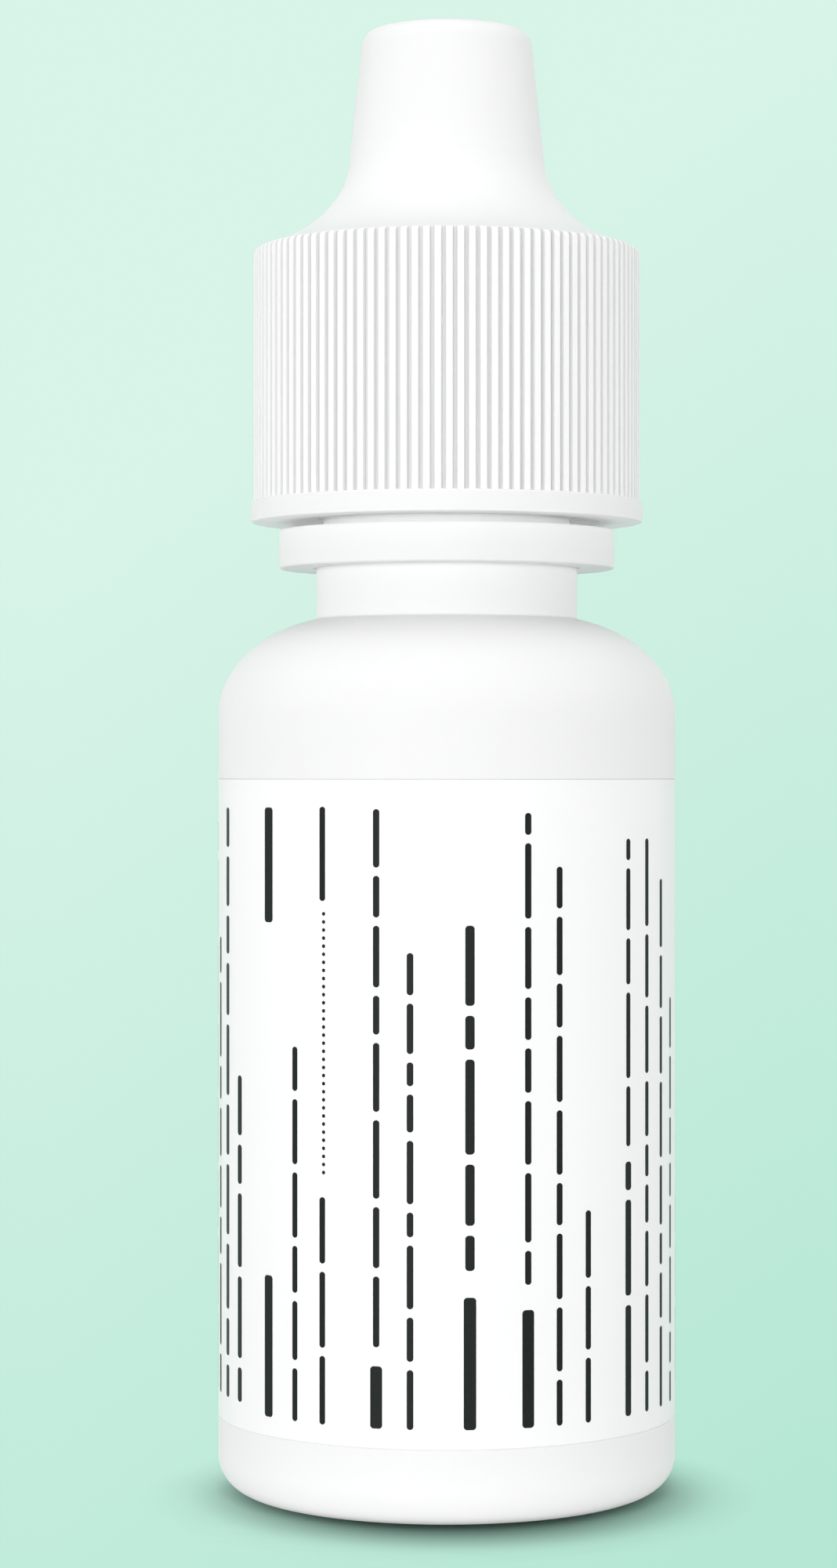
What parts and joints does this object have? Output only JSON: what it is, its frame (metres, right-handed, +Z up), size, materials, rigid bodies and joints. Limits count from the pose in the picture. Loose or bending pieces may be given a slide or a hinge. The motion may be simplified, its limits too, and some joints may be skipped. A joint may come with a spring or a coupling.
{
  "type": "eye drop bottle",
  "caption": "Squeeze dropper bottle: round body with a wrap label, plug-in dropper tip, loose neck collar and a ribbed screw cap with a tapered nozzle-shaped top.",
  "frame": {"origin": "centre of the bottle's standing ring, on the surface that it stands on", "axes": "+Z up along the bottle's axis, through the dropper tip and cap; -Y is the front, +Y the label's seam"},
  "size_m": [0.025, 0.025, 0.0796],
  "materials": {
    "bottle_plastic": "soft white low-density polyethylene, satin blown surface",
    "label_film": "white coated label, smooth, with plain dark printed bars",
    "collar_plastic": "white moulded plastic, fine satin",
    "tip_plastic": "soft milky polyethylene, satin",
    "cap_plastic": "white moulded plastic, fine satin, moulded grip ribs"
  },
  "bodies": {
    "bottle": {"bottle": "bottle_plastic", "label": "label_film", "dropper_tip": "tip_plastic"},
    "collar": {"collar": "collar_plastic"},
    "cap": {"cap": "cap_plastic"}
  },
  "joints": [
    {"name": "cap_turn", "type": "hinge", "parent": "bottle", "child": "collar", "pos_m": [0, 0, 0.05018], "axis": [0, 0, 1], "range_deg": [0, 3240]},
    {"name": "cap_lift", "type": "slide", "parent": "collar", "child": "cap", "axis": [0, 0, 1], "range_m": [0, 0.0271]}
  ],
  "couplings": [
    {"joint": "cap_lift", "follows": "cap_turn", "m_per_rad": 0.00047746}
  ]
}
